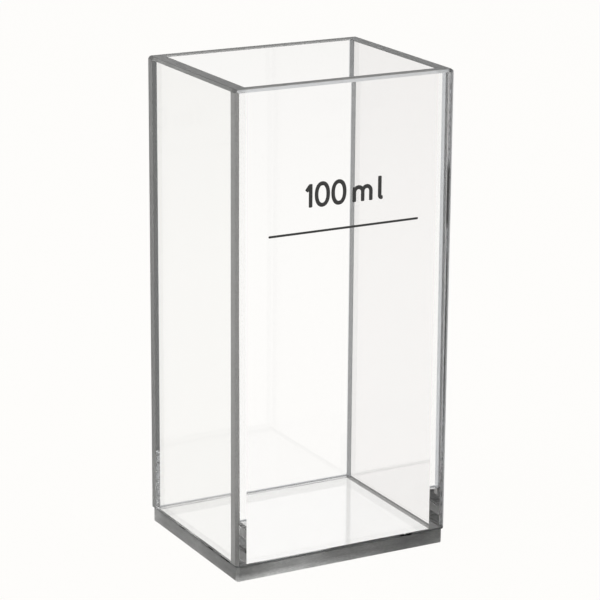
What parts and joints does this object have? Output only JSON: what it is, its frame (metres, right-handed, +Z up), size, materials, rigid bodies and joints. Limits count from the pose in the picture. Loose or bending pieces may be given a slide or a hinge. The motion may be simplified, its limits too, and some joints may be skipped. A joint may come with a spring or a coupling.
{
  "type": "glass cuvette",
  "caption": "Tall open-topped rectangular glass cuvette: flat polished panes on a set-in base plate, with ground edges and a printed fill mark on the front.",
  "frame": {"origin": "on the underside of the base plate, at the middle of the footprint", "axes": "+Z up towards the open mouth, -Y out of the marked front window, +X to the right when the mark is read"},
  "size_m": [0.0486, 0.0398, 0.1],
  "materials": {
    "window_glass": "clear optical glass, polished faces and finely ground edges",
    "wall_glass": "clear optical glass, polished faces and finely ground edges",
    "base_glass": "clear optical glass plate, polished faces and finely ground sides",
    "fired_ink": "black enamel ink fired onto the glass, satin"
  },
  "bodies": {
    "root": {"base_plate": "base_glass", "front_window": "window_glass", "back_window": "window_glass", "left_wall": "wall_glass", "right_wall": "wall_glass", "fill_line": "fired_ink"}
  },
  "joints": []
}
